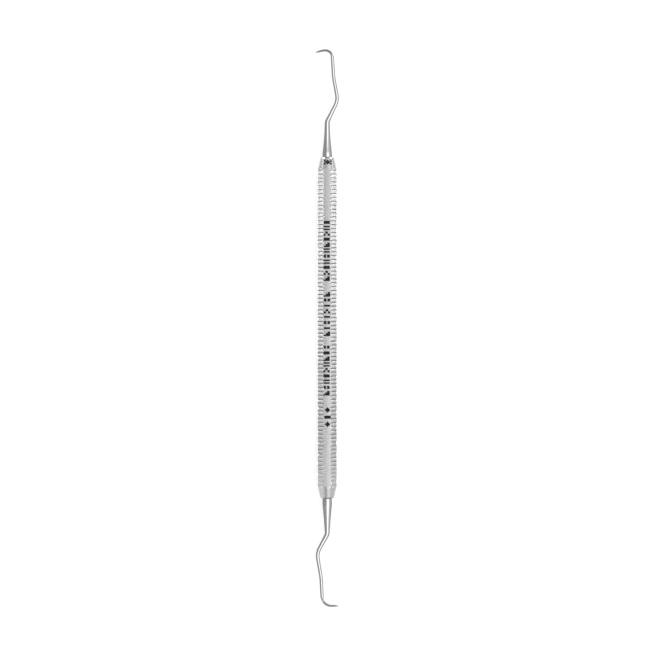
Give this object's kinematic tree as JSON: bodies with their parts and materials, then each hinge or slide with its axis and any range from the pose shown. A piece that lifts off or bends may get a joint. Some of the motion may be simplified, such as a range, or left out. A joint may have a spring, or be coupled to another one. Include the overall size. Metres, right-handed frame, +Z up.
{
  "type": "hand scaler",
  "caption": "Double-ended dental hand scaler: octagonal steel handle with cross-cut grip flats and a bent, hooked sickle blade fixed in each end.",
  "frame": {"origin": "on the surface the scaler lies on, under the middle of the handle, which is the bottom centre of the whole object", "axes": "+Y along the handle towards the upper working end, +Z up out of the surface through the marked flat, +X towards the outside of the upper hook's elbow"},
  "size_m": [0.0075, 0.1771, 0.006],
  "materials": {
    "handle_steel": "satin, fine polish along the bar",
    "tip_steel": "bright polish",
    "silver_braze": "smooth, as flowed"
  },
  "bodies": {
    "root": {"handle": "handle_steel", "upper_working_end": "tip_steel", "lower_working_end": "tip_steel", "upper_joint_bead": "silver_braze", "lower_joint_bead": "silver_braze"}
  },
  "joints": []
}
